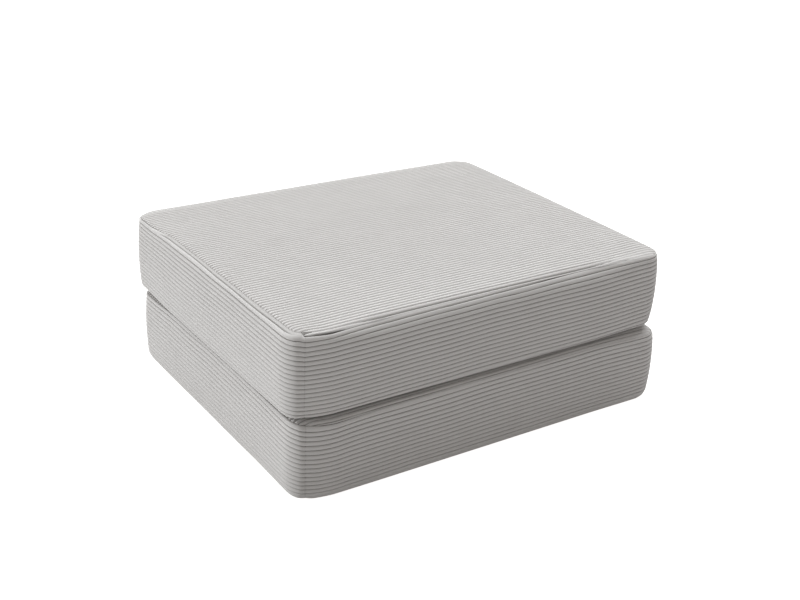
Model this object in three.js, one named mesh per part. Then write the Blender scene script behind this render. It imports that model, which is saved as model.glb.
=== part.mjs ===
// A pouf that opens out into a bed, shown folded: two soft foam halves, one on the other, in covers of
// wide-wale corduroy, joined by a strip of the same cloth along the right-hand short end.
//
// Millimetres, +Z up. X runs along the long front edge, Y towards the back, and the front faces -Y.
// The origin is on the floor, at the middle of the folded pouf.

import * as THREE from 'three';

// Driving dimensions of one half, over the crests of its wales
const LENGTH = 996;
const WIDTH = 820;
const THICKNESS = 188;
const CORNER_RADIUS = 62;
const FACE_CROWN = 6;
const TOP_CROWN = 3;

// How far the upper half has slid on the lower one, and the clearance between soft pieces
const SLIDE_X = -4;
const SLIDE_Y = 14;
const CLEARANCE = 0.3;

// Corduroy: distance between wales, depth of the grooves, and the wales that one side piece shows
const WALE_RELIEF = 1.7;
const SIDE_WALES = 18;
const PANEL_WALES = 72;

// Seams: where the panel seam lies on the rolled edge, and how deep the stitching draws the cloth in
const SEAM_INSET = 15;
const SEAM_DROP = 1.4;
const CORNER_SEAM_PULL = 1.6;

// How finely the plan is divided: pieces of arc in a corner, and points between the corners
const CORNER_STEPS = 6;
const LONG_SIDE_STEPS = 3;
const SHORT_SIDE_STEPS = 3;

// Distances from a panel's end at which its wales are given a point, as they roll over to the seam
const ROLL_STATIONS = [0, 7, 20];

// Hinge strip, folded into the groove between the halves, and the pieces of arc in its fold
const HINGE_LENGTH = 640;
const HINGE_SHEET = 1.6;
const HINGE_STEPS = 12;

// The two halves: their rolled edges, and whether the top panel lies open or carries the other half
const HALVES = {
  lower_half: { topRoll: 36, bottomRoll: 24, openTop: false },
  upper_half: { topRoll: 30, bottomRoll: 28, openTop: true },
};

const CORDUROY = { color: 0xbdb9b4, roughness: 0.95, metalness: 0 };
const CORDUROY_SHADED = { color: 0xb4b0ab, roughness: 0.95, metalness: 0 };

// Half sizes of the rectangle on which the centres of the rounded corners lie
const CORE_X = LENGTH / 2 - CORNER_RADIUS;
const CORE_Y = WIDTH / 2 - CORNER_RADIUS;

// Points around the plan, anticlockwise from the front left. Each has an anchor on the core rectangle
// and a direction outwards, and the middle of a corner carries a seam.
function planStations() {
  const corners = [
    { x: CORE_X, y: -CORE_Y, from: -Math.PI / 2 },
    { x: CORE_X, y: CORE_Y, from: 0 },
    { x: -CORE_X, y: CORE_Y, from: Math.PI / 2 },
    { x: -CORE_X, y: -CORE_Y, from: Math.PI },
  ];
  const stations = [];
  corners.forEach((corner, i) => {
    const before = corners[(i + 3) % 4];
    const steps = i % 2 === 0 ? LONG_SIDE_STEPS : SHORT_SIDE_STEPS;
    for (let k = 1; k < steps; k += 1) {
      stations.push({
        x: THREE.MathUtils.lerp(before.x, corner.x, k / steps),
        y: THREE.MathUtils.lerp(before.y, corner.y, k / steps),
        nx: Math.cos(corner.from),
        ny: Math.sin(corner.from),
        seam: false,
        around: i * 2 + k / steps,
      });
    }
    for (let k = 0; k <= CORNER_STEPS; k += 1) {
      const angle = corner.from + (k / CORNER_STEPS) * (Math.PI / 2);
      stations.push({
        x: corner.x,
        y: corner.y,
        nx: Math.cos(angle),
        ny: Math.sin(angle),
        seam: k * 2 === CORNER_STEPS,
        around: i * 2 + 1 + k / CORNER_STEPS,
      });
    }
  });
  return stations;
}

// How far round the plan a point lies: whole numbers at the ends of the straight sides, from the
// front left, so that two loops at different insets can be matched
function aroundPlan(x, y) {
  const quarter = (dx, dy, from) => {
    const turn = (Math.atan2(dy, dx) - from) % (2 * Math.PI);
    return THREE.MathUtils.clamp(turn / (Math.PI / 2), 0, 1);
  };
  if (x >= CORE_X && y <= -CORE_Y) {
    return 1 + quarter(x - CORE_X, y + CORE_Y, -Math.PI / 2);
  }
  if (x >= CORE_X && y >= CORE_Y) {
    return 3 + quarter(x - CORE_X, y - CORE_Y, 0);
  }
  if (x <= -CORE_X && y >= CORE_Y) {
    return 5 + quarter(x + CORE_X, y - CORE_Y, Math.PI / 2);
  }
  if (x <= -CORE_X && y <= -CORE_Y) {
    return 7 + quarter(x + CORE_X, y + CORE_Y, -Math.PI);
  }
  if (y < -CORE_Y) {
    return (x + CORE_X) / (2 * CORE_X);
  }
  if (x > CORE_X) {
    return 2 + (y + CORE_Y) / (2 * CORE_Y);
  }
  if (y > CORE_Y) {
    return 4 + (CORE_X - x) / (2 * CORE_X);
  }
  return 6 + (CORE_Y - y) / (2 * CORE_Y);
}

// Angle above level at which the panel seam lies on a rolled edge
function seamAngle(roll) {
  return Math.acos(1 - SEAM_INSET / roll);
}

// The crown of a side: how far it has drawn in at a height, none at the middle
function crownInset(height) {
  return FACE_CROWN * ((2 * height - THICKNESS) / THICKNESS) ** 2;
}

// The side of a half as a curve from the bottom seam to the top one: rolled edge, face, rolled edge.
// Gives the inset and height at a share of its length, and the outward direction there.
function sideProfile(half) {
  const low = seamAngle(half.bottomRoll);
  const high = seamAngle(half.topRoll);
  const lowArc = half.bottomRoll * low;
  const highArc = half.topRoll * high;
  const face = THICKNESS - half.bottomRoll - half.topRoll;
  const total = lowArc + face + highArc;
  return (share) => {
    const along = share * total;
    let angle = 0;
    let inset = 0;
    let height = half.bottomRoll + along - lowArc;
    if (along < lowArc) {
      angle = -(lowArc - along) / half.bottomRoll;
      inset = half.bottomRoll * (1 - Math.cos(angle));
      height = half.bottomRoll * (1 + Math.sin(angle));
    } else if (along > lowArc + face) {
      angle = (along - lowArc - face) / half.topRoll;
      inset = half.topRoll * (1 - Math.cos(angle));
      height = THICKNESS - half.topRoll * (1 - Math.sin(angle));
    }
    return { inset: inset + crownInset(height), height, angle };
  };
}

// Rows of the side pieces, two to a wale: a groove, then a crest. The first row is the bottom seam.
function sideRows(half) {
  const profile = sideProfile(half);
  const rows = [];
  for (let k = 0; k < SIDE_WALES * 2; k += 1) {
    const at = profile(k / (SIDE_WALES * 2));
    const groove = k % 2 === 0;
    const depth = groove ? WALE_RELIEF : 0;
    rows.push({
      inset: at.inset + depth * Math.cos(at.angle),
      height: at.height - depth * Math.sin(at.angle),
      pull: CORNER_SEAM_PULL,
    });
  }
  return rows;
}

// Inset of a point in plan from the outline of the top panel's rolled edge
function panelInset(x, y) {
  const dx = Math.abs(x) - CORE_X;
  const dy = Math.abs(y) - CORE_Y;
  const outside = Math.hypot(Math.max(dx, 0), Math.max(dy, 0));
  const inside = Math.min(Math.max(dx, dy), 0);
  return CORNER_RADIUS - FACE_CROWN - outside - inside;
}

// Height of the top panel's crests: level, rolled down at the rim, and gently crowned where it is open
function panelHeight(half, x, y) {
  const inset = panelInset(x, y);
  const reach = Math.max(half.topRoll - inset, 0);
  const drop = half.topRoll - Math.sqrt(half.topRoll ** 2 - reach ** 2);
  const rise = (1 - (2 * x / LENGTH) ** 2) * (1 - (2 * y / WIDTH) ** 2);
  return THICKNESS - drop + (half.openTop ? TOP_CROWN * rise : 0);
}

// Half the length of a wale of the top panel, from seam to seam, at a distance from the middle
function waleReach(y, seamRadius) {
  const beyond = Math.abs(y) - CORE_Y;
  if (beyond <= 0) {
    return CORE_X + seamRadius;
  }
  return CORE_X + Math.sqrt(Math.max(seamRadius ** 2 - beyond ** 2, 0));
}

// A closed mesh that is filled point by point and face by face
class Skin {
  constructor() {
    this.points = [];
    this.faces = [];
  }

  point(x, y, z) {
    this.points.push(x, y, z);
    return this.points.length / 3 - 1;
  }

  face(a, b, c) {
    this.faces.push(a, b, c);
  }

  // A band between two closed rings with the same number of points, the second above the first
  band(low, high) {
    low.forEach((point, i) => {
      const next = (i + 1) % low.length;
      this.face(point, low[next], high[next]);
      this.face(point, high[next], high[i]);
    });
  }

  // A band between two closed rings with different numbers of points, walked round by their places
  stitch(low, high) {
    let i = 0;
    let j = 0;
    while (i < low.length || j < high.length) {
      const nextLow = i + 1 < low.length ? low[i + 1].around : 8 + low[0].around;
      const nextHigh = j + 1 < high.length ? high[j + 1].around : 8 + high[0].around;
      const a = low[i % low.length].index;
      const b = high[j % high.length].index;
      if (j >= high.length || (i < low.length && nextLow <= nextHigh)) {
        this.face(a, low[(i + 1) % low.length].index, b);
        i += 1;
      } else {
        this.face(a, high[(j + 1) % high.length].index, b);
        j += 1;
      }
    }
  }

  geometry() {
    const geometry = new THREE.BufferGeometry();
    geometry.setAttribute('position', new THREE.Float32BufferAttribute(this.points, 3));
    geometry.setIndex(this.faces);
    geometry.computeVertexNormals();
    return geometry;
  }
}

// The ring of points at one row of the side pieces
function sideRing(skin, stations, row) {
  return stations.map((station) => {
    const inset = row.inset + (station.seam ? row.pull : 0);
    const radius = CORNER_RADIUS - inset;
    return skin.point(station.x + station.nx * radius, station.y + station.ny * radius, row.height);
  });
}

// The top panel: wales along X, each rolled down at its ends into the seam. Returns its rim, which is
// the seam, anticlockwise from the front left.
function topPanel(skin, half) {
  const seamRadius = CORNER_RADIUS - FACE_CROWN - SEAM_INSET;
  const halfDepth = CORE_Y + seamRadius;
  const rowCount = PANEL_WALES * 2;
  const grid = [];
  for (let j = 0; j <= rowCount; j += 1) {
    const y = THREE.MathUtils.lerp(-halfDepth, halfDepth, j / rowCount);
    const reach = waleReach(y, seamRadius);
    const xs = [];
    ROLL_STATIONS.forEach((station) => xs.push(-reach + station));
    xs.push(0);
    ROLL_STATIONS.slice().reverse().forEach((station) => xs.push(reach - station));
    const onFrontOrBackSeam = j === 0 || j === rowCount;
    const row = xs.map((x, i) => {
      const onSeam = onFrontOrBackSeam || i === 0 || i === xs.length - 1;
      const groove = j % 2 === 0;
      const depth = onSeam ? SEAM_DROP : (groove ? WALE_RELIEF : 0);
      return { index: skin.point(x, y, panelHeight(half, x, y) - depth), x, y };
    });
    grid.push(row);
  }
  for (let j = 0; j < rowCount; j += 1) {
    for (let i = 0; i + 1 < grid[j].length; i += 1) {
      const [a, b] = [grid[j][i].index, grid[j][i + 1].index];
      const [d, c] = [grid[j + 1][i].index, grid[j + 1][i + 1].index];
      skin.face(a, b, c);
      skin.face(a, c, d);
    }
  }
  const rim = [...grid[0]];
  for (let j = 1; j < rowCount; j += 1) {
    rim.push(grid[j][grid[j].length - 1]);
  }
  rim.push(...grid[rowCount].slice().reverse());
  for (let j = rowCount - 1; j > 0; j -= 1) {
    rim.push(grid[j][0]);
  }
  return rim.map((p) => ({ index: p.index, around: aroundPlan(p.x, p.y) }));
}

// One half: flat base, side pieces with level wales, and the top panel sewn to them
function halfGeometry(half) {
  const skin = new Skin();
  const stations = planStations();
  const base = { inset: FACE_CROWN + half.bottomRoll, height: 0, pull: 0 };
  const rings = [base, ...sideRows(half)].map((row) => sideRing(skin, stations, row));
  for (let k = 0; k + 1 < rings.length; k += 1) {
    skin.band(rings[k], rings[k + 1]);
  }
  const middle = skin.point(0, 0, 0);
  rings[0].forEach((point, i) => skin.face(middle, rings[0][(i + 1) % rings[0].length], point));
  const lastRing = rings[rings.length - 1].map((index, i) => ({ index, around: stations[i].around }));
  skin.stitch(startAtFrontLeft(lastRing), startAtFrontLeft(topPanel(skin, half)));
  return skin.geometry();
}

// The same ring, begun at the point that comes first when walking round from the front left
function startAtFrontLeft(ring) {
  const wrapped = ring.map((point) => ({ index: point.index, around: point.around % 8 }));
  const first = wrapped.reduce((best, point, i) => (point.around < wrapped[best].around ? i : best), 0);
  return [...wrapped.slice(first), ...wrapped.slice(0, first)];
}

// Where the hinge strip is sewn to the end of a half: the panel seam that faces the other half
function hingeSeam(half, atTop) {
  if (atTop) {
    const x = LENGTH / 2 - FACE_CROWN - SEAM_INSET;
    return { x, z: panelHeight(half, x, 0) - SEAM_DROP };
  }
  const bottomSeam = sideRows(half)[0];
  return { x: LENGTH / 2 - bottomSeam.inset, z: bottomSeam.height };
}

// The hinge strip: a sheet folded outwards in a half round, from one seam to the other
function hingeGeometry(low, high) {
  const middle = { x: (low.x + high.x) / 2, z: (low.z + high.z) / 2 };
  const outer = Math.hypot(high.x - low.x, high.z - low.z) / 2 - CLEARANCE;
  const inner = outer - HINGE_SHEET;
  const end = Math.atan2(high.z - middle.z, high.x - middle.x);
  const section = new THREE.Shape();
  section.absarc(middle.x, middle.z, outer, end - Math.PI, end, false);
  section.absarc(middle.x, middle.z, inner, end, end - Math.PI, true);
  section.closePath();
  const geometry = new THREE.ExtrudeGeometry(section, {
    depth: HINGE_LENGTH,
    bevelEnabled: false,
    curveSegments: HINGE_STEPS,
  });
  geometry.translate(0, 0, -HINGE_LENGTH / 2);
  geometry.rotateX(Math.PI / 2);
  return geometry;
}

function piece(name, geometry, look) {
  const mesh = new THREE.Mesh(geometry, new THREE.MeshStandardMaterial(look));
  mesh.name = name;
  return mesh;
}

const pouf = new THREE.Group();

const lower = piece('lower_half', halfGeometry(HALVES.lower_half), CORDUROY_SHADED);
lower.position.set(-SLIDE_X / 2, -SLIDE_Y / 2, 0);
pouf.add(lower);

const upper = piece('upper_half', halfGeometry(HALVES.upper_half), CORDUROY);
upper.position.set(SLIDE_X / 2, SLIDE_Y / 2, THICKNESS + CLEARANCE);
pouf.add(upper);

const lowerSeam = hingeSeam(HALVES.lower_half, true);
const upperSeam = hingeSeam(HALVES.upper_half, false);
const hinge = piece('hinge_strip', hingeGeometry(
  { x: lowerSeam.x + lower.position.x, z: lowerSeam.z + lower.position.z },
  { x: upperSeam.x + upper.position.x, z: upperSeam.z + upper.position.z },
), CORDUROY_SHADED);
pouf.add(hinge);

export default pouf;
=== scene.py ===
"""Dresses a folded pouf bed: two soft foam halves in covers of wide-wale corduroy, one lying on the
other, and the strip of the same cloth that joins them along the right-hand short end.

Metres, +Z up. X runs along the long front edge, Y towards the back, and the front faces -Y.
"""

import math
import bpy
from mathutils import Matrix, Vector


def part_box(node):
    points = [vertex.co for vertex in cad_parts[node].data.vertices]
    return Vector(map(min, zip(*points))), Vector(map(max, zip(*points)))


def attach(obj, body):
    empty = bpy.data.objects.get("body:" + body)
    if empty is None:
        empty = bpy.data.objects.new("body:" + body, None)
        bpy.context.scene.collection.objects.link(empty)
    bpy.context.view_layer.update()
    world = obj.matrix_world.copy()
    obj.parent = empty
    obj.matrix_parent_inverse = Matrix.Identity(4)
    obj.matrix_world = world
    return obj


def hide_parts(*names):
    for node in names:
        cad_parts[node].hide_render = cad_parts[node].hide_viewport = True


bl_info = {
    "name": "Folded Corduroy Pouf Bed",
    "version": (1, 0, 0),
    "blender": (4, 5, 0),
    "location": "3D View > Sidebar > Pouf Bed",
    "description": "Makes the two corduroy halves of a folded pouf bed, their cloth hinge and a plain stage",
    "category": "Add Mesh",
}

import bpy
import numpy as np
from mathutils import Matrix, Vector

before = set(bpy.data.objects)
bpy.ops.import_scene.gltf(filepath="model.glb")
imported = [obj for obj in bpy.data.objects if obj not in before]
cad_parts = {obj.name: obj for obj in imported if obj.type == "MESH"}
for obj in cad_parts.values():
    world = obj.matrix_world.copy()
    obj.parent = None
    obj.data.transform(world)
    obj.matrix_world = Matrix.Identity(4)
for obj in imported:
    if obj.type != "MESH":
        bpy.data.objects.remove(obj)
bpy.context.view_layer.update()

MM = 0.001

# Wales across a panel
PANEL_WALES = 74

# Places across one wale that get a row of points, from groove to groove with the crest at a half: in most
# wales, in the last few beside a seam, in the very first one, and in a bottom panel
WALE_PLACES = (0.0, 0.08, 0.2, 0.35, 0.5, 0.65, 0.8, 0.92)
FINE_WALE_PLACES = (0.0, 0.05, 0.12, 0.21, 0.32, 0.44, 0.56, 0.68, 0.79, 0.88, 0.95)
FIRST_WALE_PLACES = (0.0, 0.03, 0.08, 0.15, 0.25, 0.36, 0.44, 0.5, 0.56, 0.64, 0.75, 0.85, 0.92, 0.97)
PLAIN_WALE_PLACES = (0.0, 0.2, 0.5, 0.8)

# Wales beside a seam that get the finer places, those that the seam may cut into, and the least share of a
# wale between the row of points at the lower seam and the one before it
FINE_WALES = 3
CUT_WALES = 3.0
LAST_ROW_GAP = 0.02

# Power that makes a wale's crest broad and its groove narrow
WALE_FULLNESS = 4.0

# Distances from a panel's end at which each wale gets a point, and the spacing further in. A bottom panel
# takes every third of these distances, and three times the spacing.
PANEL_END_PLACES = np.array([0, 0.6, 1.4, 2.6, 4.2, 7, 11, 16, 22, 30, 40, 52, 66, 82, 100]) * MM
PANEL_SPACING = 17 * MM
BOTTOM_COARSENESS = 3

# Inset of a panel's outermost wales where they lie straight, their slant as a multiple of how far they
# wander, and the rounds in which the wales and the seam at their ends settle on each other
PANEL_MARGIN = 10 * MM
PANEL_SLANT = 1.5
SETTLING_ROUNDS = 3

# Distances from a corner seam at which the side gets a column of points, how far these columns keep from
# the ends of the corner's arc, and the spacing between corners
CORNER_PLACES = np.array([0, 0.7, 1.6, 2.8, 4.5, 7, 11, 16, 22, 30, 39, 48]) * MM
CORNER_MARGIN = 3 * MM
SIDE_SPACING = 16 * MM

# A rim is counted round anticlockwise from the front left: one turn for each side and each corner
TURNS = 8

# Distance from a corner over which the measures of the sides blend into the corner's own
CORNER_BLEND = 0.16

# The flattened part of the front: what brings its bump t (1 - t)^2 to a peak of 1, the distance behind the
# front at which it is gone, and over which it goes
FLAT_SCALE = 27 / 4
FLAT_END = 0.14
FLAT_FADE = 0.12

# What a seam does: how much it flattens the wales and how much painted shade darkens the cloth's colour at
# it, the width of the pinch where seams meet, the distance over which the long waves in the foam set in
# beside it, and the distances from a panel seam and from a corner seam at which the side's wales wander
# freely
SEAM_FLATTENING = 0.75
SEAM_PAINTED_SHADE = 0.6
PINCH_WIDTH = 11 * MM
SWELL_START = 20 * MM
WANDER_FROM_PANEL = 14 * MM
WANDER_FROM_CORNER = 30 * MM

# The broad band along the left end, by distance from the front left corner seam: where it has its whole
# width, how far the small widening on the other side of that seam reaches, where the band begins to part
# into two wales and over what distance, and where it begins to end and over what distance
BAND_WIDENS = 12 * MM
BAND_REACH = 70 * MM
BAND_PARTS = 20 * MM
BAND_PARTING = 50 * MM
BAND_STOPS = 0.6
BAND_STOPPING = 0.12

# Width from which the band is wholly smooth and width at which it would part wholly, the share of its width
# that the first wale takes, and the share of that wale beside the seam that has no groove
SMOOTH_BAND = 10 * MM
PARTED_BAND = 24 * MM
BAND_SHARE = 0.85
GROOVELESS = 0.25

# How much painted shade darkens the colour of a smooth band, and where it begins to fade, in half wales from
# the seam
BAND_PAINTED_SHADE = 0.6
BAND_SHADE_FADE_START = 0.9

# Widths of the dip on the side and on the panel, beside the seam of the broad left band
SIDE_TUCK = 12 * MM
PANEL_TUCK = 16 * MM

# Shortest and longest of the long waves: in the foam, in the wales of the side and of a panel, and in the
# hinge strip, with the radius of the circle on which the side's waves are taken
FOAM_WAVES = (0.16, 0.5)
SIDE_WAVES = (0.12, 0.35)
PANEL_WAVES = (0.2, 0.6)
HINGE_WAVES = (0.05, 0.2)
SIDE_WAVE_RADIUS = 0.55

# Random seeds: added to a half's own for its foam and its panels' wales, and the hinge strip's
FOAM_SEED = 10
PANEL_SEED = 20
HINGE_SEED = 40

# Where on the cloth's map the side, the bottom panel and the hinge strip begin, so that their pile differs
SIDE_MAP = 2.0
BOTTOM_MAP = 4.0
HINGE_MAP = 6.0

# Rise of the open top in the frame's own solid, which its box holds
CAD_TOP_CROWN = 3 * MM

# Hinge strip: its thickness, how far its ends are tucked into the seams, the width of its
# wales, the height of its waves, and the steps along it
HINGE_SHEET = 1.6 * MM
HINGE_TUCK = 1.0 * MM
HINGE_PITCH = 8.5 * MM
HINGE_SAG = 0.0006
HINGE_STEPS = 48

# Half the width of the floor, and the glow of the floor and of the sky, towards the piece and towards the
# camera
FLOOR_HALF = 30.0
FLOOR_GLOW = (0.15, 1.0)
SKY_GLOW = (0.42, 1.07)

# Lamps: name, strength, breadth, elevation, and the angle from the left towards the back, in degrees
LAMPS = (("left window", 2.35, 24, 10, 40), ("back window", 3.5, 60, 54, 130))
LAMP_COLOUR = (0.945, 0.98, 1.0)
LAMP_DISTANCE = 4

# Camera: azimuth, elevation and roll in degrees, the point it looks at and its distance from it, its focal
# length and the width of its picture in pixels, and the width of its sensor in millimetres
CAMERA_ANGLES = (-34.41, 24.12, 2.54)
CAMERA_TARGET = (0.4287, 0.60273, -0.12923)
CAMERA_DISTANCE = 3.7531
FOCAL_PIXELS = 1218.37
PICTURE_PIXELS = 800.0
SENSOR_WIDTH = 36.0


def half_measures(side_wales, seed, open_top, **lengths):
    """The measures of a half in metres, from lengths in millimetres."""
    return {"side_wales": side_wales, "seed": seed, "open_top": open_top,
            **{name: np.array(length) * MM for name, length in lengths.items()}}


# For each half: the wales down a side, where the lower seam cuts into the last one, a random seed, and
# whether its top is open to view. Then, in millimetres, for the front, right, back and left:
#   top_roll, bottom_roll: radius of the upper and the lower edge
#   top_fall, bottom_fall: how far the top and the bottom panel fall away towards that edge
# for the corners front left, front right, back right and back left:
#   top_corner_roll, bottom_corner_roll: radius of the upper and the lower edge there
#   top_corner_fall, bottom_corner_fall: how much further the panels fall there
#   top_cut: how much of the uppermost side wales the upper seam cuts off
#   bottom_slip: how far the lower seam has slipped outwards on its edge
#   seams: how far anticlockwise of the corner's middle its own seam lies
# and left_band: how much broader the cloth is at the left end between upper seam and first groove.
HALVES = {
    "lower_half": half_measures(
        side_wales=17.7, seed=3, open_top=False,
        top_roll=[12, 8, 12, 6], bottom_roll=[28, 22, 28, 32],
        top_fall=[6, 12, 4, 0.5], bottom_fall=[0, 0, 0, 0],
        top_corner_roll=[9, 6, 10, 6], bottom_corner_roll=[30, 25, 25, 30],
        top_corner_fall=[4, 5, 4, 4], bottom_corner_fall=[0, 0, 0, 0],
        top_cut=[0, 7, 2, 0], bottom_slip=[-1, 2, 0, 0], seams=[9, -3, 3, -4], left_band=3),
    "upper_half": half_measures(
        side_wales=18.2, seed=4, open_top=True,
        top_roll=[36, 9, 12, 7], bottom_roll=[5, 6, 12, 6],
        top_fall=[2, 6, 6, 2], bottom_fall=[6, 18, 5, 4],
        top_corner_roll=[12, 9, 10, 8], bottom_corner_roll=[6, 5, 8, 8],
        top_corner_fall=[1, 0, 0, 0], bottom_corner_fall=[0, 3, 5, 5],
        top_cut=[-1, 15, 6, 0], bottom_slip=[-4, 4, 0, 0], seams=[18, -4, 3, -5], left_band=15),
}


class PoufSizes(bpy.types.PropertyGroup):
    """Sizes of the two halves and of their sewn cloth."""

    corner_radius: bpy.props.FloatProperty(
        name="Corner Radius", description="Radius of a half's corners seen from above",
        default=0.062, min=0.04, max=0.12, unit="LENGTH")
    face_crown: bpy.props.FloatProperty(
        name="Side Crown", description="How far a side draws in towards its upper and lower edge",
        default=0.006, min=0.0, max=0.02, unit="LENGTH")
    seam_lean: bpy.props.FloatProperty(
        name="Seam Lean", description="Upward lean of the rolled edge at which a panel seam lies",
        default=1.0, min=0.4, max=1.5, unit="ROTATION")
    fall_reach: bpy.props.FloatProperty(
        name="Fall Reach", description="Distance from the edge over which a panel falls away towards it",
        default=0.040, min=0.01, max=0.1, unit="LENGTH")
    flat_start: bpy.props.FloatProperty(
        name="Flat Start", description="Distance from the left end at which the flattened front begins",
        default=0.018, min=0.0, max=0.06, unit="LENGTH")
    flat_length: bpy.props.FloatProperty(
        name="Flat Length", description="Length of the flattened front at the left-hand corner",
        default=0.077, min=0.02, max=0.2, unit="LENGTH")
    flat_depth: bpy.props.FloatProperty(
        name="Flat Depth", description="How far the flattened front falls back at most",
        default=0.0065, min=0.0, max=0.015, unit="LENGTH")
    top_crown: bpy.props.FloatProperty(
        name="Top Crown", description="Rise of the open top at its middle; its edges rise half as much",
        default=0.004, min=0.0, max=0.02, unit="LENGTH")
    wale_relief: bpy.props.FloatProperty(
        name="Wale Relief", description="Depth of the grooves between the wales",
        default=0.0036, min=0.0005, max=0.005, unit="LENGTH")
    first_band: bpy.props.FloatProperty(
        name="First Side Wale", description="Width of the side wale next to the upper panel seam",
        default=0.0105, min=0.008, max=0.016, unit="LENGTH")
    seam_depth: bpy.props.FloatProperty(
        name="Seam Depth", description="How deep a panel seam draws the cloth in",
        default=0.0004, min=0.0, max=0.004, unit="LENGTH")
    seam_width: bpy.props.FloatProperty(
        name="Seam Width", description="Distance over which the cloth curls down to a seam",
        default=0.0020, min=0.001, max=0.01, unit="LENGTH")
    corner_seam_depth: bpy.props.FloatProperty(
        name="Corner Seam Depth", description="How deep the seam up a corner draws the cloth in",
        default=0.0012, min=0.0, max=0.004, unit="LENGTH")
    left_tuck: bpy.props.FloatProperty(
        name="Left Tuck", description="How deep the cloth dips on both sides of the broad left band's seam",
        default=0.0025, min=0.0, max=0.006, unit="LENGTH")
    corner_band: bpy.props.FloatProperty(
        name="Corner Band", description="Extra width of the first side wale right of the front left corner",
        default=0.003, min=0.0, max=0.02, unit="LENGTH")
    pinch: bpy.props.FloatProperty(
        name="Corner Pinch", description="Extra depth where a corner seam meets the panel seams",
        default=0.0012, min=0.0, max=0.005, unit="LENGTH")
    unevenness: bpy.props.FloatProperty(
        name="Unevenness", description="Height of the long soft waves in the foam",
        default=0.0009, min=0.0, max=0.003, unit="LENGTH")
    wale_wander: bpy.props.FloatProperty(
        name="Wale Wander", description="How far the wales stray from straight lines",
        default=0.0012, min=0.0, max=0.003, unit="LENGTH")


class PoufColours(bpy.types.PropertyGroup):
    """Colours of the cloth and of the stage."""

    crest: bpy.props.FloatVectorProperty(
        name="Wale Crest", description="Colour of the pile on the wales",
        default=(0.54, 0.523, 0.512), min=0.0, max=1.0, size=3, subtype="COLOR")
    # The groove colour is partly the ground cloth between the wales and partly painted shade: it is darker
    # than the cloth so the grooves look shaded
    groove: bpy.props.FloatVectorProperty(
        name="Wale Groove", description="Colour of the ground cloth between the wales",
        default=(0.18, 0.17, 0.16), min=0.0, max=1.0, size=3, subtype="COLOR")
    floor: bpy.props.FloatVectorProperty(
        name="Floor", description="Colour of the plain floor",
        default=(0.5, 0.5, 0.5), min=0.0, max=1.0, size=3, subtype="COLOR")


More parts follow.
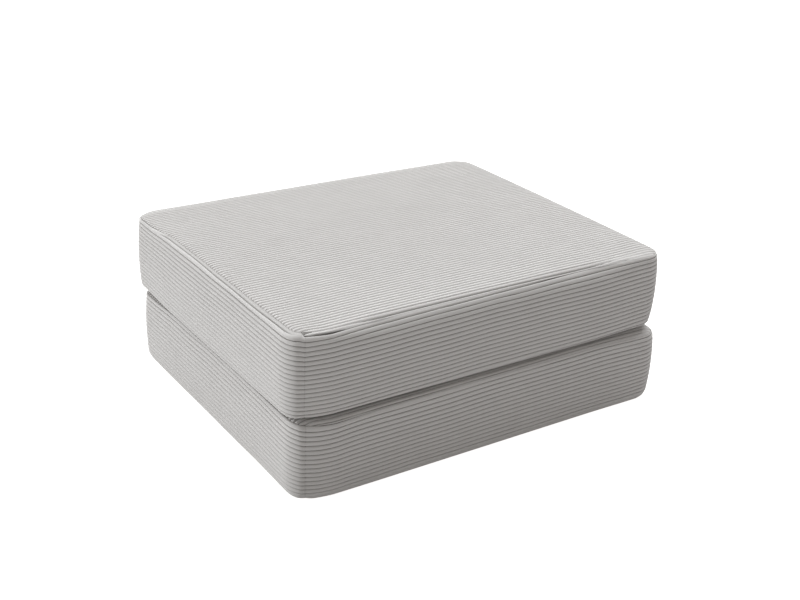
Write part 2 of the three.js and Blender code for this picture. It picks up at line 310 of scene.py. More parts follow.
class Cloth:
    """Points, faces and cloth marks of a piece, gathered strip by strip as whole arrays.

    Each point has a place on the cloth in metres, along and across its wales, and the share of a wale's
    height at which it lies.
    """

    def __init__(self):
        self.points = []
        self.places = []
        self.wales = []
        self.corners = []
        self.corner_places = []
        self.face_sizes = []
        self.count = 0

    def add(self, points, places, wales):
        """Adds points and gives their numbers, in the shape of the arrays."""
        shape = wales.shape
        numbers = self.count + np.arange(wales.size).reshape(shape)
        self.points.append(points.reshape(-1, 3))
        self.places.append(places.reshape(-1, 2))
        self.wales.append(wales.reshape(-1))
        self.count += wales.size
        return numbers

    def face(self, corners, corner_places):
        """Adds faces with a row of point numbers each, and the place on the cloth of each corner."""
        self.corners.append(corners.reshape(-1))
        self.corner_places.append(corner_places.reshape(-1, 2))
        self.face_sizes.append(np.full(len(corners), corners.shape[1]))

    def sheet(self, numbers, places, inward=False, wrap=None):
        """Adds the four-cornered faces of a grid of points. With wrap, the last column joins the first
        one, whose cloth places are then that far along."""
        if wrap is not None:
            numbers = np.concatenate([numbers, numbers[:, :1]], axis=1)
            places = np.concatenate([places, places[:, :1] + np.array([wrap, 0.0])], axis=1)
        corner = [(slice(0, -1), slice(0, -1)), (slice(0, -1), slice(1, None)),
                  (slice(1, None), slice(1, None)), (slice(1, None), slice(0, -1))]
        if inward:
            corner.reverse()
        self.face(np.stack([numbers[c].ravel() for c in corner], axis=1),
                  np.stack([places[c].reshape(-1, 2) for c in corner], axis=1))

    def sew(self, outer, outer_turn, outer_places, inner, inner_turn, inner_places, inward=False):
        """Joins two closed rings that have different numbers of points with a strip of triangles.

        Both rings run the same way round, each with its points' turns, which rise. The steps along
        both rings are put in the order of the turns that they reach, and each step makes one triangle
        with the point that the other ring has got to.
        """
        outer_reach = np.append(outer_turn[1:], outer_turn[0] + TURNS)
        inner_reach = np.append(inner_turn[1:], inner_turn[0] + TURNS)
        on_outer = np.append(np.ones(len(outer), bool), np.zeros(len(inner), bool))
        order = np.argsort(np.append(outer_reach, inner_reach), kind="stable")
        on_outer = on_outer[order]
        i = np.cumsum(on_outer) - on_outer
        j = np.cumsum(~on_outer) - ~on_outer
        this, after = i % len(outer), (i + 1) % len(outer)
        here, beyond = j % len(inner), (j + 1) % len(inner)
        third = np.where(on_outer, outer[after], inner[beyond])
        corners = np.stack([outer[this], third, inner[here]], axis=1)
        third = np.where(on_outer[:, None], outer_places[after], inner_places[beyond])
        corner_places = np.stack([outer_places[this], third, inner_places[here]], axis=1)
        if inward:
            corners, corner_places = corners[:, ::-1], corner_places[:, ::-1]
        self.face(corners, corner_places)

    def piece(self, name, material):
        """Makes the mesh and its object, smooth, with a UV map and the wale height as an attribute."""
        mesh = bpy.data.meshes.new(name)
        corners = np.concatenate(self.corners).astype(np.int32)
        sizes = np.concatenate(self.face_sizes)
        mesh.vertices.add(self.count)
        mesh.vertices.foreach_set("co", np.concatenate(self.points).astype(np.float32).ravel())
        mesh.loops.add(len(corners))
        mesh.loops.foreach_set("vertex_index", corners)
        mesh.polygons.add(len(sizes))
        mesh.polygons.foreach_set("loop_start", (np.cumsum(sizes) - sizes).astype(np.int32))
        mesh.update(calc_edges=True)
        mesh.uv_layers.new(name="cloth").uv.foreach_set(
            "vector", np.concatenate(self.corner_places).astype(np.float32).ravel())
        mesh.attributes.new("wale", "FLOAT", "POINT").data.foreach_set(
            "value", np.concatenate(self.wales).astype(np.float32))
        mesh.shade_smooth()
        mesh.materials.append(material)
        if mesh.validate():
            raise RuntimeError(f"{name}: the mesh had faulty faces")
        piece = bpy.data.objects.new(name, mesh)
        bpy.context.scene.collection.objects.link(piece)
        return piece


def groove_share(phase):
    """Depth below a wale's crest, from 0 on the crest to 1 in the groove: the distance from the crest in
    half wales, raised to a power. Grooves lie at whole phases."""
    return np.abs(2 * (phase % 1.0) - 1) ** WALE_FULLNESS


def curl(distance, width):
    """Depth of the cloth beside a seam, from 1 at the stitches to 0 at the width: a quarter circle."""
    near = 1 - np.clip(np.abs(distance) / width, 0, 1)
    return 1 - np.sqrt(1 - near ** 2)


def ease(t):
    """Smooth step from 0 to 1."""
    t = np.clip(t, 0, 1)
    return t * t * (3 - 2 * t)


def long_waves(x, y, z, seed, shortest, longest, count=12):
    """Soft unevenness of about -1 to 1: the sum of sine waves of random direction, length and phase."""
    draw = np.random.default_rng(seed)
    total = np.zeros(np.broadcast(x, y, z).shape)
    for _ in range(count):
        way = draw.normal(size=3)
        way /= np.linalg.norm(way)
        way *= 2 * math.pi / draw.uniform(shortest, longest)
        total += np.sin(way[0] * x + way[1] * y + way[2] * z + draw.uniform(0, 2 * math.pi))
    return total / math.sqrt(count)


def wale_rows(wales, places, fine_ends=0):
    """Phases of the rows of points across a number of wales, in order. Whole phases are grooves, and some
    wales at both ends may have finer places."""
    rows = [k + np.array(FINE_WALE_PLACES if min(k, wales - 1 - k) < fine_ends else places)
            for k in range(wales)]
    rows[0] = np.array(FIRST_WALE_PLACES if fine_ends else places)
    return np.append(np.concatenate(rows), wales)


def rolled_edge(roll, length):
    """Inset, rise and upward lean on an edge of a radius, at a length from the end of the upright face: a
    quarter circle and then level, inwards."""
    angle = np.clip(length / roll, 0, math.pi / 2)
    level = np.clip(length - roll * math.pi / 2, 0, None)
    return roll * (1 - np.cos(angle)) + level, roll * np.sin(angle), angle


class Half:
    """The measures of one half, and the strips of cloth that cover it."""

    def __init__(self, node, sizes):
        low, high = (np.array(corner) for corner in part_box(node))
        self.node = node
        self.sizes = sizes
        self.measures = HALVES[node]
        self.open_top, self.seed = self.measures["open_top"], self.measures["seed"]
        self.centre = np.array([(low[0] + high[0]) / 2, (low[1] + high[1]) / 2, low[2]])
        self.top_crown = sizes.top_crown if self.open_top else 0.0
        self.thickness = high[2] - low[2] - (CAD_TOP_CROWN if self.open_top else 0.0)
        self.radius = sizes.corner_radius
        self.core = (high - low)[:2] / 2 - self.radius
        self.cloth = Cloth()

    def at_corners(self, which, x, y):
        """A value that is known at the corners, blended along both sides."""
        across = np.clip(x / self.core[0], -1, 1) / 2 + 0.5
        deep = np.clip(y / self.core[1], -1, 1) / 2 + 0.5
        front_left, front_right, back_right, back_left = self.measures[which]
        front = front_left + across * (front_right - front_left)
        back = back_left + across * (back_right - back_left)
        return front + deep * (back - front)

    def shaped(self, x, y, height):
        """Points of the plain half, given its large forms. An open top rises by two parabolas, across and
        deep, so that its edges bow up too, and the side shares in this as it gets higher. Right of its
        front left corner the front is flattened: it falls back by a bump t (1 - t)^2 over the share t of the
        flat length, which is steep at the corner."""
        half_x, half_y = self.core + self.radius
        rise = self.top_crown * (2 - (x / half_x) ** 2 - (y / half_y) ** 2) / 2 * height / self.thickness
        share = np.clip((x + half_x - self.sizes.flat_start) / self.sizes.flat_length, 0, 1)
        fade = ease((FLAT_END - half_y - y) / FLAT_FADE)
        flat = self.sizes.flat_depth * FLAT_SCALE * share * (1 - share) ** 2 * fade
        return np.stack([x, y + flat, height + rise], axis=-1)

    def at_sides(self, which, x, y):
        """A value that is known at the front, right, back and left, blended round the corners."""
        over_x, over_y = (np.maximum(np.abs(v) - core, 0) for v, core in zip((x, y), self.core))
        share = over_y ** 2 / (over_x ** 2 + over_y ** 2 + 1e-12)
        front, right, back, left = self.measures[which]
        return share * np.where(y < 0, front, back) + (1 - share) * np.where(x > 0, right, left)

    def near_corner(self, x, y):
        """A smooth step from 1 at a corner to 0 at the blend's distance from it."""
        return (ease(1 + (np.abs(x) - self.core[0]) / CORNER_BLEND)
                * ease(1 + (np.abs(y) - self.core[1]) / CORNER_BLEND))

    def bands(self, x, y):
        """How much broader than usual the cloth is between the upper seam and the first side groove, and
        how far this broad band has parted into two wales. Both are smooth steps of the distance from the
        front left corner seam, measured round the outline and positive towards the left end, where the
        band is broad. On the other side of the seam it is a little broader than usual."""
        core_x, core_y = self.core
        over_x, over_y = np.clip(-x - core_x, 1e-9, None), np.clip(-y - core_y, 0, None)
        along_front = np.where(y < 0, np.clip(x + core_x, 0, None), 0)
        along_left = np.where(x < 0, np.clip(y + core_y, 0, None), 0)
        gap = (along_left - (self.radius * np.arctan2(over_y, over_x) + along_front)
               + self.radius * math.pi / 4 + self.measures["seams"][0])
        near, left = self.sizes.corner_band, self.measures["left_band"]
        end = 1 - ease((gap - BAND_STOPS) / BAND_STOPPING)
        broad = np.where(gap > 0, (near + (left - near) * ease(gap / BAND_WIDENS)) * end,
                         near * (1 - ease(-gap / BAND_REACH)))
        parted = ease((gap - BAND_PARTS) / BAND_PARTING) * end * min(left / PARTED_BAND, 1)
        placed = (x < 0) | (y < 0)
        return np.where(placed, broad, 0), np.where(placed, parted, 0)

    def seam_reach(self, top, x, y):
        """Radius of the rolled edge at a place on the outline, and the length on it from the upright face
        to the panel seam. The seam lies at a fixed lean, the upper one further in by the width of the broad
        band and the lower one further out by its slip."""
        name = "top" if top else "bottom"
        roll = self.at_sides(name + "_roll", x, y)
        roll = roll + self.near_corner(x, y) * (self.at_corners(name + "_corner_roll", x, y) - roll)
        further = self.bands(x, y)[0] if top else -self.at_corners("bottom_slip", x, y)
        return roll, roll * self.sizes.seam_lean + further

    def fall(self, top, x, y, inset):
        """How far a panel lies below its level at an inset from the edge, a parabola over the reach, its
        slope there, and how far it falls in all, which is more around the corners."""
        name = "top" if top else "bottom"
        whole = (self.at_sides(name + "_fall", x, y)
                 + self.near_corner(x, y) * self.at_corners(name + "_corner_fall", x, y))
        left = np.clip(1 - inset / self.sizes.fall_reach, 0, 1)
        return whole * left ** 2, 2 * whole * left / self.sizes.fall_reach, whole

    def rim(self, top, x, y):
        """Radius of a panel's corner arcs at its seam."""
        return self.radius - self.sizes.face_crown - rolled_edge(*self.seam_reach(top, x, y))[0]

    # Side pieces

    def stations(self):
        """Columns round the half, anticlockwise from the front left: anchors on the core rectangle,
        directions outwards, turns, distances round the half, and distances from the nearest corner seam.
        Then the whole distance round the half."""
        core_x, core_y = self.core
        quarter = math.pi / 2
        arc = self.radius * quarter
        anchors, ways, turns, arounds, seam_gaps = [], [], [], [], []
        around = 0.0
        starts = [(-core_x, -core_y), (core_x, -core_y), (core_x, core_y), (-core_x, core_y)]
        seams = arc / 2 + self.measures["seams"]
        for side in range(4):
            start, stop = np.array(starts[side]), np.array(starts[(side + 1) % 4])
            length = np.linalg.norm(stop - start)
            steps = round(length / SIDE_SPACING)
            share = np.arange(1, steps) / steps
            angle = -quarter + side * quarter
            before, seam = seams[side], seams[(side + 1) % 4]
            anchors.append(start + share[:, None] * (stop - start))
            ways.append(np.tile([math.cos(angle), math.sin(angle)], (steps - 1, 1)))
            turns.append(2 * side + share)
            arounds.append(around + share * length)
            seam_gaps.append(np.minimum(arc - before + length * share, length * (1 - share) + seam))
            around += length
            offsets = np.concatenate([seam - CORNER_PLACES[:0:-1], seam + CORNER_PLACES])
            inside = (offsets > CORNER_MARGIN) & (offsets < arc - CORNER_MARGIN)
            offsets = np.concatenate([[0.0], offsets[inside], [arc]])
            angles = angle + offsets / self.radius
            anchors.append(np.tile(stop, (len(offsets), 1)))
            ways.append(np.stack([np.cos(angles), np.sin(angles)], axis=1))
            turns.append(2 * side + 1 + offsets / arc)
            arounds.append(around + offsets)
            seam_gaps.append(np.abs(offsets - seam))
            around += arc
        return (np.concatenate(anchors), np.concatenate(ways), np.concatenate(turns),
                np.concatenate(arounds), np.concatenate(seam_gaps), around)

    def side_profile(self, x, y, bottom_roll, top_roll, height):
        """Inset, height and upward lean of the side at a height of the cloth measured along it, from the
        start of the upright face: the bottom roll, the face and the top roll, which run into the falls of
        the panels. The crown, a parabola over the height, draws both edges in."""
        face = self.face_height(x, y, bottom_roll, top_roll)
        low_inset, low_rise, below = rolled_edge(bottom_roll, -height)
        high_inset, rise, above = rolled_edge(top_roll, height - face)
        low_fall, low_slope, _ = self.fall(False, x, y, low_inset)
        high_fall, high_slope, whole = self.fall(True, x, y, high_inset)
        below = np.arctan2(np.sin(below), np.cos(below) + low_slope * np.sin(below))
        above = np.arctan2(np.sin(above), np.cos(above) + high_slope * np.sin(above))
        height = low_fall + bottom_roll - low_rise + np.clip(height, 0, face) + rise + whole - high_fall
        off_middle = (2 * height - self.thickness) / self.thickness
        inset = low_inset + high_inset + self.sizes.face_crown * off_middle ** 2
        lean = above - below + np.arctan(4 * self.sizes.face_crown * off_middle / self.thickness)
        return inset, height, lean

    def face_height(self, x, y, bottom_roll, top_roll):
        """Height of the upright face between the two rolled edges."""
        return (self.thickness - bottom_roll - top_roll - self.fall(False, x, y, 0)[2]
                - self.fall(True, x, y, 0)[2])

    def side_rows(self, outline, length, broad):
        """Rows of points across the wales of a side, upwards, for the length of cloth between its seams.
        Gives each row's phase as counted from the upper seam, its phase in the wales themselves, which the
        seam has cut into, and its length of cloth above the lower seam. The first wale has its own width
        and takes most of the broad band; the others share the rest evenly."""
        wales = self.measures["side_wales"]
        counted = wale_rows(math.ceil(wales), WALE_PLACES, FINE_WALES)
        counted = np.append(counted[counted < wales - LAST_ROW_GAP], wales)[::-1, None]
        cut_off = self.at_corners("top_cut", *outline)
        first_band = self.sizes.first_band + BAND_SHARE * broad
        pitch = (length + cut_off - first_band) / (wales - 1)
        cut = np.where(cut_off < first_band, cut_off / first_band, 1 + (cut_off - first_band) / pitch)
        phases = np.where(counted < CUT_WALES, cut + (CUT_WALES - cut) * counted / CUT_WALES, counted)
        down = np.where(phases < 1, phases * first_band, first_band + (phases - 1) * pitch)
        return counted, phases, length + cut_off - down

    def side(self):
        """The side pieces: level wales on the side's profile, carried round the plan. Each wale strays a
        little up and down, the first one at the left end is broad and smooth with painted shade darkening its
        colour, painted shade darkens the colour at the seams, and the cloth curls in at the panel seams and
        at the seam in each corner. Returns the lower and upper ring."""
        sizes = self.sizes
        anchors, ways, turns, arounds, seam_gaps, round_length = self.stations()
        outline = (anchors + ways * self.radius).T
        bottom_roll, below = self.seam_reach(False, *outline)
        top_roll, above = self.seam_reach(True, *outline)
        length = below + self.face_height(*outline, bottom_roll, top_roll) + above
        broad, parted = self.bands(*outline)
        counted, phases, rows = self.side_rows(outline, length, broad)
        from_panel = np.minimum(rows, length - rows)
        free = ease(from_panel / WANDER_FROM_PANEL) * ease(seam_gaps / WANDER_FROM_CORNER)
        turn_angle = 2 * math.pi * arounds / round_length
        stray = sizes.wale_wander * long_waves(SIDE_WAVE_RADIUS * np.cos(turn_angle),
                                               SIDE_WAVE_RADIUS * np.sin(turn_angle),
                                               rows, self.seed, *SIDE_WAVES)
        along = rows + free * stray
        inset, height, lean = self.side_profile(*outline, bottom_roll, top_roll, along - below)

        share = groove_share(phases)
        share += np.where(counted < 1, parted * (groove_share(2 * counted) - share), 0)
        smooth = np.clip(broad / SMOOTH_BAND, 0, 1)
        share *= 1 - smooth * (1 - ease(counted / GROOVELESS))
        at_seam = np.maximum(curl(from_panel, sizes.seam_width), curl(seam_gaps, sizes.seam_width))
        depth = (sizes.wale_relief * (1 - SEAM_FLATTENING * at_seam) * share
                 + sizes.seam_depth * curl(from_panel, sizes.seam_width)
                 + sizes.left_tuck * smooth * curl(length - rows, SIDE_TUCK)
                 + sizes.corner_seam_depth * curl(seam_gaps, sizes.seam_width)
                 + sizes.pinch * np.exp(-(np.hypot(from_panel, seam_gaps) / PINCH_WIDTH) ** 2)
                 - self.unevenness(*outline, height) * ease(from_panel / SWELL_START))
        out = self.radius - inset - depth * np.cos(lean)
        points = self.shaped(anchors[:, 0] + ways[:, 0] * out, anchors[:, 1] + ways[:, 1] * out,
                             height - depth * np.sin(lean))
        places = np.stack([arounds * np.ones_like(along), along + SIDE_MAP], axis=-1)
        # Painted shade: the broad smooth band's colour is darkened near its seam
        band_shade = BAND_PAINTED_SHADE * smooth * (1 - ease(2 * counted - BAND_SHADE_FADE_START))
        # Painted shade: the colour darkens at the seams
        marks = (1 - share) * (1 - SEAM_PAINTED_SHADE * at_seam) * (1 - band_shade)
        numbers = self.cloth.add(points + self.centre, places, marks)
        self.cloth.sheet(numbers, places, wrap=round_length)
        return [(numbers[k], turns, places[k]) for k in (0, -1)]

    def end_seam(self, top, y):
        """Places in X and Z of the panel seam along the right-hand end, at some places in Y."""
        core_x = self.core[0]
        end = (core_x + self.radius, y - self.centre[1])
        roll, reach = self.seam_reach(top, *end)
        inset, rise, _ = rolled_edge(roll, reach)
        drop = roll - rise + self.fall(top, *end, inset)[0]
        x = self.centre[0] + core_x + self.radius - self.sizes.face_crown - inset
        height = self.thickness - drop if top else drop
        return np.stack([x, self.centre[2] + height], axis=-1)

    def unevenness(self, x, y, height):
        """Long waves in the foam."""
        return self.sizes.unevenness * long_waves(x, y, height, self.seed + FOAM_SEED, *FOAM_WAVES)

    # Panels

    def panel_edge(self, x, y):
        """Inset from the rolled edge's outline, and the direction outwards, at a place on a panel. The
        outline is a rectangle with round corners."""
        dx = np.abs(x) - self.core[0]
        dy = np.abs(y) - self.core[1]
        over_x, over_y = np.maximum(dx, 0), np.maximum(dy, 0)
        outside = np.hypot(over_x, over_y)
        inside = np.minimum(np.maximum(dx, dy), 0)
        way = np.stack([np.sign(x) * over_x, np.sign(y) * over_y], axis=-1)
        way = way / np.maximum(outside, 1e-9)[..., None]
        return self.radius - self.sizes.face_crown - outside - inside, way

    def corner_distance(self, top, x, y):
        """Distance in plan from the nearest point where a corner seam meets the panel's seam."""
        arc = self.radius * math.pi / 2
        distances = []
        for k, (side_x, side_y) in enumerate(((-1, -1), (1, -1), (1, 1), (-1, 1))):
            angle = math.pi * (1 + k / 2) + (arc / 2 + self.measures["seams"][k]) / self.radius
            at_x, at_y = side_x * self.core[0], side_y * self.core[1]
            rim = self.rim(top, at_x + self.radius * math.cos(angle), at_y + self.radius * math.sin(angle))
            distances.append(np.hypot(x - at_x - rim * math.cos(angle), y - at_y - rim * math.sin(angle)))
        return np.minimum.reduce(distances)

    def panel(self, top):
        """A panel: wales along X, in rows from the front seam to the back one, each rolled over at its
        ends. The wales wander together, so the front and back seams cut into the last ones at a shallow
        angle. Returns its rim."""
        sizes = self.sizes
        core_x, core_y = self.core
        reach_y = core_y + self.radius - sizes.face_crown - PANEL_MARGIN
        pitch = 2 * reach_y / PANEL_WALES
        coarseness = 1 if top else BOTTOM_COARSENESS
        phases = wale_rows(PANEL_WALES, *((WALE_PLACES, FINE_WALES) if top else (PLAIN_WALE_PLACES,)))
        ends = PANEL_END_PLACES[::coarseness]
        steps = round(2 * (core_x - ends[-1]) / (coarseness * PANEL_SPACING))
        straight = -reach_y + pitch * phases[:, None]
        free = ease(np.minimum(phases, PANEL_WALES - phases)[:, None] / CUT_WALES)
        side = np.where(phases < PANEL_WALES / 2, -1, 1)[:, None]

        def across(*end_places):
            """Places of the columns in each row, whose ends lie on the seam at their own y."""
            reach = []
            for at, y in zip((-1, 1), end_places):
                beyond = np.clip(np.abs(y) - core_y, 0, None)
                usual = np.sqrt(np.clip((reach_y - core_y) ** 2 - beyond ** 2, 0, None))
                rim = self.rim(top, at * (core_x + usual), y)
                reach.append(core_x + np.sqrt(np.clip(rim ** 2 - beyond ** 2, 0, None)))
            share = np.arange(1, steps) / steps
            left, right = -reach[0] + ends, (reach[1] - ends)[:, ::-1]
            middle = left[:, -1:] + share * (right[:, :1] - left[:, -1:])
            return np.concatenate([left, middle, right], axis=1)

        x = across(straight, straight)
        for _ in range(SETTLING_ROUNDS):
            stray = self.panel_stray(x, straight)
            on_seam = side * (core_y + self.rim(top, x, side * reach_y))
            from_straight = on_seam - side * reach_y
            y = straight + free * stray + (1 - free) * from_straight
            x = across(y[:, :1], y[:, -1:])

        inset, way = self.panel_edge(x, y)
        from_seam = inset - (self.radius - sizes.face_crown - self.rim(top, x, y))
        from_seam[[0, -1]] = 0
        from_seam[:, [0, -1]] = 0
        roll = self.seam_reach(top, x, y)[0]
        lean = np.arcsin(np.clip(1 - inset / roll, 0, 1))
        fall, slope, _ = self.fall(top, x, y, inset)
        drop = roll * (1 - np.cos(lean)) + fall
        lean = np.arctan2(np.sin(lean) + slope * np.cos(lean), np.cos(lean))
        share = groove_share((y + reach_y - stray) / pitch)
        at_seam = curl(from_seam, sizes.seam_width)
        swell = self.unevenness(x, y, self.thickness) if top and self.open_top else 0 * x
        smooth = np.clip(self.bands(x, y)[0] / SMOOTH_BAND, 0, 1) if top else 0
        depth = (sizes.wale_relief * (1 - SEAM_FLATTENING * at_seam) * share
                 + sizes.seam_depth * at_seam
                 + sizes.left_tuck * smooth * curl(from_seam, PANEL_TUCK)
                 + sizes.pinch * np.exp(-(self.corner_distance(top, x, y) / PINCH_WIDTH) ** 2)
                 - swell * ease(from_seam / SWELL_START))
        height = self.thickness - drop - depth * np.cos(lean) if top else drop + depth * np.cos(lean)
        points = self.shaped(x - depth * np.sin(lean) * way[..., 0], y - depth * np.sin(lean) * way[..., 1],
                             height)
        places = np.stack([x, y + (0.0 if top else BOTTOM_MAP)], axis=-1)
        # Painted shade: the colour darkens at the seams
        marks = (1 - share) * (1 - SEAM_PAINTED_SHADE * at_seam)
        numbers = self.cloth.add(points + self.centre, places, marks)
        self.cloth.sheet(numbers, places, inward=not top)
        ring = [np.s_[0, :-1], np.s_[:-1, -1], np.s_[-1, :0:-1], np.s_[:0:-1, 0]]
        rim_numbers, rim_x, rim_y = (np.concatenate([a[r] for r in ring]) for a in (numbers, x, y))
        return rim_numbers, self.turn(rim_x, rim_y), np.concatenate([places[r] for r in ring])

    def panel_stray(self, x, y):
        """How far the wales of a panel lie from straight: a slight slant and long waves."""
        waves = long_waves(x, y, 0, self.seed + PANEL_SEED, *PANEL_WAVES)
        return self.sizes.wale_wander * (PANEL_SLANT * x / self.core[0] + waves)

    def turn(self, x, y):
        """How far round the half a place on its rim lies, in turns: the front is turn 0 to 1, the front right
        corner 1 to 2, and so on round to the front left corner, 7 to 8."""
        core_x, core_y = self.core
        at_corner = (np.abs(x) >= core_x) & (np.abs(y) >= core_y)
        angle = np.arctan2(np.abs(y) - core_y, np.abs(x) - core_x) / (math.pi / 2)
        right, back = x > 0, y > 0
        corner = np.where(right, np.where(back, 3 + angle, 2 - angle), np.where(back, 6 - angle, 7 + angle))
        level = (x + core_x) / (2 * core_x)
        deep = (y + core_y) / (2 * core_y)
        along_x = np.where(back, 5 - level, level)
        along_y = np.where(right, 2 + deep, 7 - deep)
        return np.where(at_corner, corner, np.where(np.abs(y) > core_y, along_x, along_y))

    def cover(self, name, material):
        """The whole cover, sewn closed."""
        low_ring, high_ring = self.side()
        top_rim = self.panel(True)
        bottom_rim = self.panel(False)
        self.cloth.sew(*high_ring, *top_rim)
        self.cloth.sew(*low_ring, *bottom_rim, inward=True)
        return self.cloth.piece(name, material)


def hinge_cloth(lower, upper, first_y, last_y, sizes):
    """The hinge strip: a thin sheet between the facing seams of the two halves, folded outwards in a half
    round with its wales along Y. A row of points runs once round its section: over the outer face from the
    lower seam to the upper one, and back over the inner face. Returns the cloth and the strip's width."""
    y = np.linspace(first_y, last_y, HINGE_STEPS + 1)
    low, high = lower.end_seam(True, y), upper.end_seam(False, y)
    middle = (low + high) / 2
    chord = high - low
    half_chord = np.linalg.norm(chord, axis=1) / 2
    outer = half_chord + HINGE_TUCK
    width = math.pi * outer.mean()
    wales = max(round(width / HINGE_PITCH), 1)
    phases = wale_rows(wales, WALE_PLACES)
    share = groove_share(phases)
    turn = math.pi * phases / wales - math.pi / 2 + np.arctan2(-chord[:, 0], chord[:, 1])[:, None]
    waves = long_waves(0 * y, y, 0, HINGE_SEED, *HINGE_WAVES)[:, None]
    skin = outer[:, None] + HINGE_SAG * waves * np.sin(math.pi * phases / wales)
    radius = np.concatenate([skin - sizes.wale_relief / 2 * share, (skin - HINGE_SHEET)[:, ::-1]], axis=1)
    turn = np.concatenate([turn, turn[:, ::-1]], axis=1)
    points = np.stack([middle[:, :1] + radius * np.cos(turn), y[:, None] * np.ones_like(turn),
                       middle[:, 1:] + radius * np.sin(turn)], axis=-1)
    round_section = np.concatenate([phases, phases[::-1]]) / wales * width
    places = np.stack([y[:, None] * np.ones_like(turn), (round_section + HINGE_MAP) * np.ones_like(turn)],
                      axis=-1)
    height = np.concatenate([1 - share, 0 * share]) * np.ones_like(turn)
    strip = Cloth()
    numbers = strip.add(points, places, height)
    strip.sheet(numbers, places, inward=True, wrap=0.0)
    count = len(phases)
    for row, inward in ((0, True), (-1, False)):
        facing = [np.stack([ring[row, :count], ring[row, :count - 1:-1]]) for ring in (numbers, places)]
        strip.sheet(*facing, inward=inward)
    return strip, width


def tree_socket(tree, name, way, kind, value=None):
    """A named input or output on a node group."""
    made = tree.interface.new_socket(name=name, in_out=way, socket_type=kind)
    if value is not None:
        made.default_value = value
    return made


def pile_group():
    """Corduroy pile: in the grooves the ground cloth's colour, darkened further as painted shade, and the
    pile's on the crests, brushed in short streaks along the wales and clouded in larger patches. Gives
    colour, roughness and height."""
    name = "corduroy_pile"
    if name in bpy.data.node_groups:
        return bpy.data.node_groups[name]
    tree = bpy.data.node_groups.new(name, "ShaderNodeTree")
    tree_socket(tree, "Crest Colour", "INPUT", "NodeSocketColor", (0.5, 0.5, 0.5, 1))
    tree_socket(tree, "Groove Colour", "INPUT", "NodeSocketColor", (0.3, 0.3, 0.3, 1))
    tree_socket(tree, "Groove Width", "INPUT", "NodeSocketFloat", 0.5)
    tree_socket(tree, "Brushing", "INPUT", "NodeSocketFloat", 0.1)
    tree_socket(tree, "Colour", "OUTPUT", "NodeSocketColor")
    tree_socket(tree, "Roughness", "OUTPUT", "NodeSocketFloat")
    tree_socket(tree, "Height", "OUTPUT", "NodeSocketFloat")
    new, link = tree.nodes.new, tree.links.new
    given, made = new("NodeGroupInput"), new("NodeGroupOutput")

    wale = new("ShaderNodeAttribute")
    wale.attribute_name = "wale"
    cloth = new("ShaderNodeUVMap")
    cloth.uv_map = "cloth"

    def noise(scales, detail, roughness):
        """Noise on the cloth's own map, with its own scale along and across the wales."""
        stretch = new("ShaderNodeMapping")
        stretch.inputs["Scale"].default_value = (*scales, 1)
        link(cloth.outputs["UV"], stretch.inputs["Vector"])
        texture = new("ShaderNodeTexNoise")
        texture.inputs["Scale"].default_value = 1
        texture.inputs["Detail"].default_value = detail
        texture.inputs["Roughness"].default_value = roughness
        link(stretch.outputs["Vector"], texture.inputs["Vector"])
        return texture.outputs["Fac"]

    def reckoned(operation, *values):
        """The result of a sum on outputs and numbers."""
        node = new("ShaderNodeMath")
        node.operation = operation
        for value, socket in zip(values, node.inputs):
            if isinstance(value, float):
                socket.default_value = value
            else:
                link(value, socket)
        return node.outputs[0]

    # Scales along and across the wales to a metre, detail and roughness of the noise
    streaks = noise((260, 900), 3, 0.6)
    tufts = noise((1500, 1700), 2, 0.5)
    patches = noise((9, 14), 3, 0.55)

    height = new("ShaderNodeMapRange")
    height.interpolation_type = "SMOOTHSTEP"
    height.inputs["From Min"].default_value = 0.15
    link(wale.outputs["Fac"], height.inputs["Value"])
    link(given.outputs["Groove Width"], height.inputs["From Max"])
    # Mixes the groove colour, which holds painted shade, with the crest colour by the wale height
    pile = new("ShaderNodeMix")
    pile.data_type = "RGBA"
    link(height.outputs["Result"], pile.inputs["Factor"])
    link(given.outputs["Groove Colour"], pile.inputs["A"])
    link(given.outputs["Crest Colour"], pile.inputs["B"])

    brushing = given.outputs["Brushing"]
    shade = reckoned("MULTIPLY_ADD", reckoned("ADD", streaks, patches), brushing, 1.0)
    tinted = new("ShaderNodeVectorMath")
    tinted.operation = "SCALE"
    link(pile.outputs["Result"], tinted.inputs["Vector"])
    link(reckoned("SUBTRACT", shade, brushing), tinted.inputs["Scale"])
    link(tinted.outputs["Vector"], made.inputs["Colour"])

    roughness = new("ShaderNodeMapRange")
    roughness.inputs["To Min"].default_value = 0.82
    roughness.inputs["To Max"].default_value = 0.98
    link(streaks, roughness.inputs["Value"])
    link(roughness.outputs["Result"], made.inputs["Roughness"])
    link(reckoned("ADD", streaks, tufts), made.inputs["Height"])
    return tree


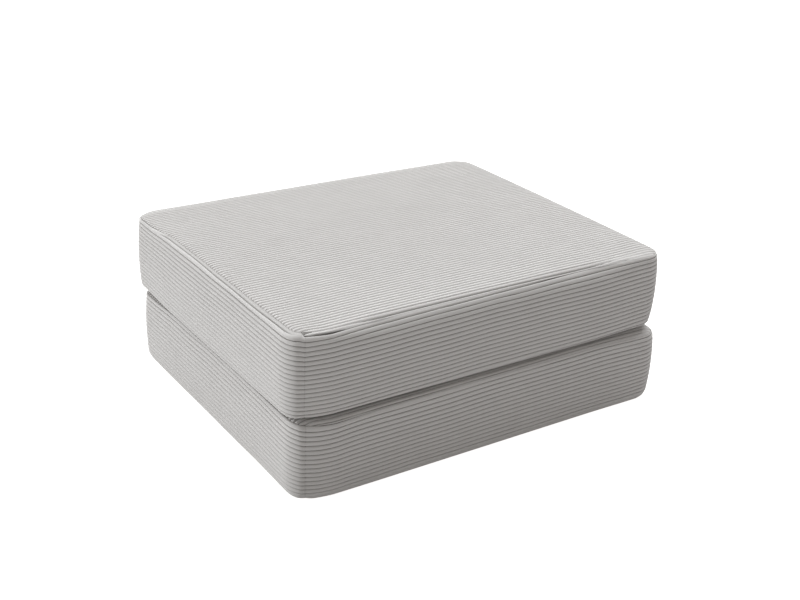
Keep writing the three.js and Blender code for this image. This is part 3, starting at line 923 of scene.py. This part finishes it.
def corduroy(name, crest, groove):
    """A corduroy material: the pile's colour, roughness and bump on a soft shader with a velvet sheen."""
    if name in bpy.data.materials:
        return bpy.data.materials[name]
    material = bpy.data.materials.new(name)
    material.use_nodes = True
    nodes, link = material.node_tree.nodes, material.node_tree.links.new
    shader = nodes["Principled BSDF"]
    shader.inputs["Specular IOR Level"].default_value = 0.15
    shader.inputs["Sheen Weight"].default_value = 0.12
    shader.inputs["Sheen Roughness"].default_value = 0.5
    shader.inputs["Sheen Tint"].default_value = (1.0, 0.98, 0.95, 1.0)
    pile = nodes.new("ShaderNodeGroup")
    pile.node_tree = pile_group()
    pile.inputs["Crest Colour"].default_value = (*crest, 1)
    # The groove colour holds painted shade on top of the ground cloth's own colour
    pile.inputs["Groove Colour"].default_value = (*groove, 1)
    pile.inputs["Groove Width"].default_value = 0.5
    pile.inputs["Brushing"].default_value = 0.10
    bump = nodes.new("ShaderNodeBump")
    bump.inputs["Strength"].default_value = 0.35
    bump.inputs["Distance"].default_value = 0.0003
    link(pile.outputs["Colour"], shader.inputs["Base Color"])
    link(pile.outputs["Roughness"], shader.inputs["Roughness"])
    link(pile.outputs["Height"], bump.inputs["Height"])
    link(bump.outputs["Normal"], shader.inputs["Normal"])
    return material


class POUF_OT_halves(bpy.types.Operator):
    """Make the two foam halves in their corduroy covers"""

    bl_idname = "pouf.halves"
    bl_label = "Make the Halves"

    def execute(self, context):
        sizes, colours = context.scene.pouf_sizes, context.scene.pouf_colours
        material = corduroy("light grey corduroy", colours.crest, colours.groove)
        for name, node in (("lower_cushion", "lower_half"), ("upper_cushion", "upper_half")):
            half = Half(node, sizes)
            piece = half.cover(name, material)
            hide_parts(half.node)
            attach(piece, "root")
        return {"FINISHED"}


class POUF_OT_hinge(bpy.types.Operator):
    """Make the corduroy strip that joins the halves at the right-hand end"""

    bl_idname = "pouf.hinge"
    bl_label = "Make the Hinge Strip"

    def execute(self, context):
        sizes, colours = context.scene.pouf_sizes, context.scene.pouf_colours
        lower, upper = Half("lower_half", sizes), Half("upper_half", sizes)
        strip, width = hinge_cloth(lower, upper, *(corner[1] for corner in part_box("hinge_strip")), sizes)
        piece = strip.piece("hinge_cloth", corduroy("hinge corduroy", colours.crest, colours.groove))
        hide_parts("hinge_strip")
        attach(piece, "root")
        return {"FINISHED"}


def camera_glow(tree, socket, towards_piece, towards_camera):
    """Feeds a strength socket with one value for the light it gives and another where the camera sees it."""
    glow = tree.nodes.new("ShaderNodeMapRange")
    glow.inputs["To Min"].default_value = towards_piece
    glow.inputs["To Max"].default_value = towards_camera
    rays = tree.nodes.new("ShaderNodeLightPath")
    tree.links.new(rays.outputs["Is Camera Ray"], glow.inputs["Value"])
    tree.links.new(glow.outputs["Result"], socket)


class POUF_OT_stage(bpy.types.Operator):
    """Make the plain floor, the soft studio light and the camera"""

    bl_idname = "pouf.stage"
    bl_label = "Make the Stage"

    def execute(self, context):
        scene = context.scene
        scene.view_settings.view_transform = "Standard"
        self.floor(scene)
        self.lights(scene)
        self.camera(scene)
        return {"FINISHED"}

    def floor(self, scene):
        """A plain pale floor, large enough for its edge to stay out of sight. It glows, more so towards the
        camera than towards the piece, so that it looks white and its bounce stays soft."""
        mesh = bpy.data.meshes.new("floor")
        ends = ((-1, -1), (1, -1), (1, 1), (-1, 1))
        mesh.from_pydata([(x * FLOOR_HALF, y * FLOOR_HALF, 0) for x, y in ends], [], [(0, 1, 2, 3)])
        floor = bpy.data.objects.new("floor", mesh)
        scene.collection.objects.link(floor)
        material = bpy.data.materials.new("pale floor")
        material.use_nodes = True
        shader = material.node_tree.nodes["Principled BSDF"]
        shader.inputs["Base Color"].default_value = (*scene.pouf_colours.floor, 1)
        shader.inputs["Roughness"].default_value = 0.9
        shader.inputs["Emission Color"].default_value = (1.0, 0.985, 0.965, 1.0)
        shader.inputs["Specular IOR Level"].default_value = 0.1
        camera_glow(material.node_tree, shader.inputs["Emission Strength"], *FLOOR_GLOW)
        mesh.materials.append(material)

    def lights(self, scene):
        """An even surround that is brighter towards the camera, and two large soft lights: a low one from
        the left and a high one from the right and behind."""
        world = bpy.data.worlds.new("studio")
        world.use_nodes = True
        sky = world.node_tree.nodes["Background"]
        sky.inputs["Color"].default_value = (1.0, 0.97, 0.94, 1.0)
        camera_glow(world.node_tree, sky.inputs["Strength"], *SKY_GLOW)
        scene.world = world
        for name, energy, breadth, elevation, behind in LAMPS:
            lamp = bpy.data.lights.new(name, "SUN")
            lamp.angle = math.radians(breadth)
            lamp.energy = energy
            lamp.color = LAMP_COLOUR
            up, back = math.radians(elevation), math.radians(behind)
            towards = Vector((-math.cos(up) * math.cos(back), math.cos(up) * math.sin(back), math.sin(up)))
            light = bpy.data.objects.new(name, lamp)
            light.matrix_world = (Matrix.Translation(towards * LAMP_DISTANCE)
                                  @ towards.to_track_quat("Z", "Y").to_matrix().to_4x4())
            scene.collection.objects.link(light)

    def camera(self, scene):
        """The camera at the photograph's angle: it looks at a point from a distance, turned about its
        own axis by a small roll."""
        azimuth, elevation, roll = (math.radians(angle) for angle in CAMERA_ANGLES)
        back = Vector((math.sin(azimuth) * math.cos(elevation), -math.cos(azimuth) * math.cos(elevation),
                       math.sin(elevation)))
        right = (-back).cross(Vector((0, 0, 1))).normalized()
        up = right.cross(-back)
        across = right * math.cos(roll) + up * math.sin(roll)
        upward = up * math.cos(roll) - right * math.sin(roll)
        data = bpy.data.cameras.new("camera")
        data.sensor_width = SENSOR_WIDTH
        data.lens = FOCAL_PIXELS * SENSOR_WIDTH / PICTURE_PIXELS
        data.clip_start, data.clip_end = 0.05, 200.0
        camera = bpy.data.objects.new("camera", data)
        turned = Matrix((across, upward, back)).transposed().to_4x4()
        camera.matrix_world = Matrix.Translation(Vector(CAMERA_TARGET) + back * CAMERA_DISTANCE) @ turned
        scene.collection.objects.link(camera)
        scene.camera = camera


class POUF_PT_panel(bpy.types.Panel):
    """Lists what the add-on makes"""

    bl_idname = "POUF_PT_panel"
    bl_label = "Folded Pouf Bed"
    bl_space_type = "VIEW_3D"
    bl_region_type = "UI"
    bl_category = "Pouf Bed"

    def draw(self, context):
        layout = self.layout
        for group in (context.scene.pouf_sizes, context.scene.pouf_colours):
            box = layout.box()
            for name in group.__annotations__:
                box.prop(group, name)
        for operator in OPERATORS:
            layout.operator(operator.bl_idname)


OPERATORS = (POUF_OT_halves, POUF_OT_hinge, POUF_OT_stage)
CLASSES = (PoufSizes, PoufColours, *OPERATORS, POUF_PT_panel)


def register():
    for each in CLASSES:
        bpy.utils.register_class(each)
    bpy.types.Scene.pouf_sizes = bpy.props.PointerProperty(type=PoufSizes)
    bpy.types.Scene.pouf_colours = bpy.props.PointerProperty(type=PoufColours)


def unregister():
    del bpy.types.Scene.pouf_colours
    del bpy.types.Scene.pouf_sizes
    for each in reversed(CLASSES):
        bpy.utils.unregister_class(each)


def main():
    """Makes every piece in order."""
    register()
    bpy.ops.pouf.halves()
    bpy.ops.pouf.hinge()
    bpy.ops.pouf.stage()


if __name__ == "__main__":
    main()
